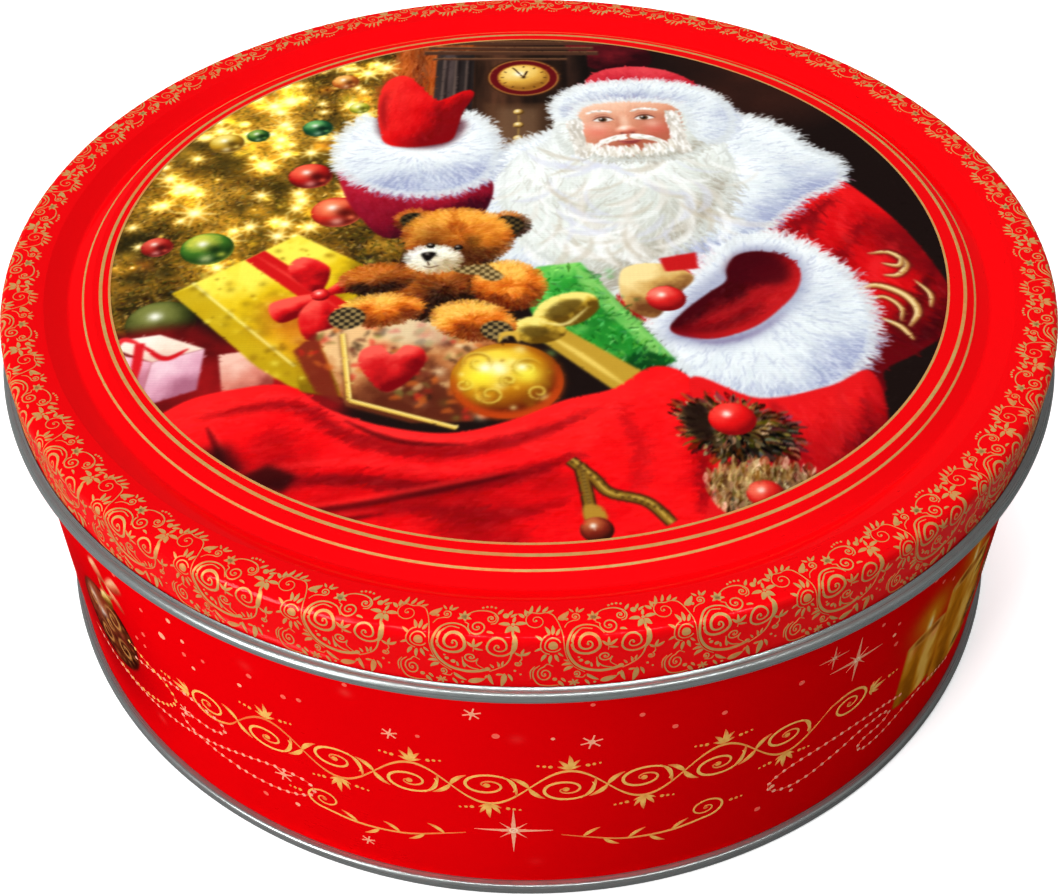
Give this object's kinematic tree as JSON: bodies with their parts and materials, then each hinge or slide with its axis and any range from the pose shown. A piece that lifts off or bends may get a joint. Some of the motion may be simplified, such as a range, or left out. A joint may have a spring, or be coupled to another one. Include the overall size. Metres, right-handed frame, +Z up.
{
  "type": "cookie tin",
  "caption": "Low round tinplate cookie tin with a slip lid that lifts off, a rolled silver curl and foot seam, and pleated paper cups inside.",
  "frame": {"origin": "centre of the foot ring, on the floor the tin stands on", "axes": "+Z up along the tin's axis, the way the lid lifts; +X to the viewer's right and -Y towards the viewer in front of the printed side"},
  "size_m": [0.196, 0.196, 0.068],
  "materials": {
    "lid_print": "gloss lithographed tinplate with matte gold ink",
    "side_print": "gloss lithographed tinplate with matte gold ink",
    "tinplate": "bare bright tinplate",
    "liner_paper": "greaseproof",
    "pad_paper": "corrugated",
    "cup_paper": "pleated"
  },
  "bodies": {
    "tin_body": {"side_wall": "side_print", "bottom_end": "tinplate", "base_liner": "liner_paper", "cushion_pad": "pad_paper", "paper_cup_1": "cup_paper", "paper_cup_2": "cup_paper", "paper_cup_3": "cup_paper", "paper_cup_4": "cup_paper", "paper_cup_5": "cup_paper"},
    "lid": {"lid": "lid_print"}
  },
  "joints": [
    {"name": "lid_lift", "type": "slide", "parent": "tin_body", "child": "lid", "axis": [0, 0, 1], "range_m": [0, 0.12]}
  ]
}
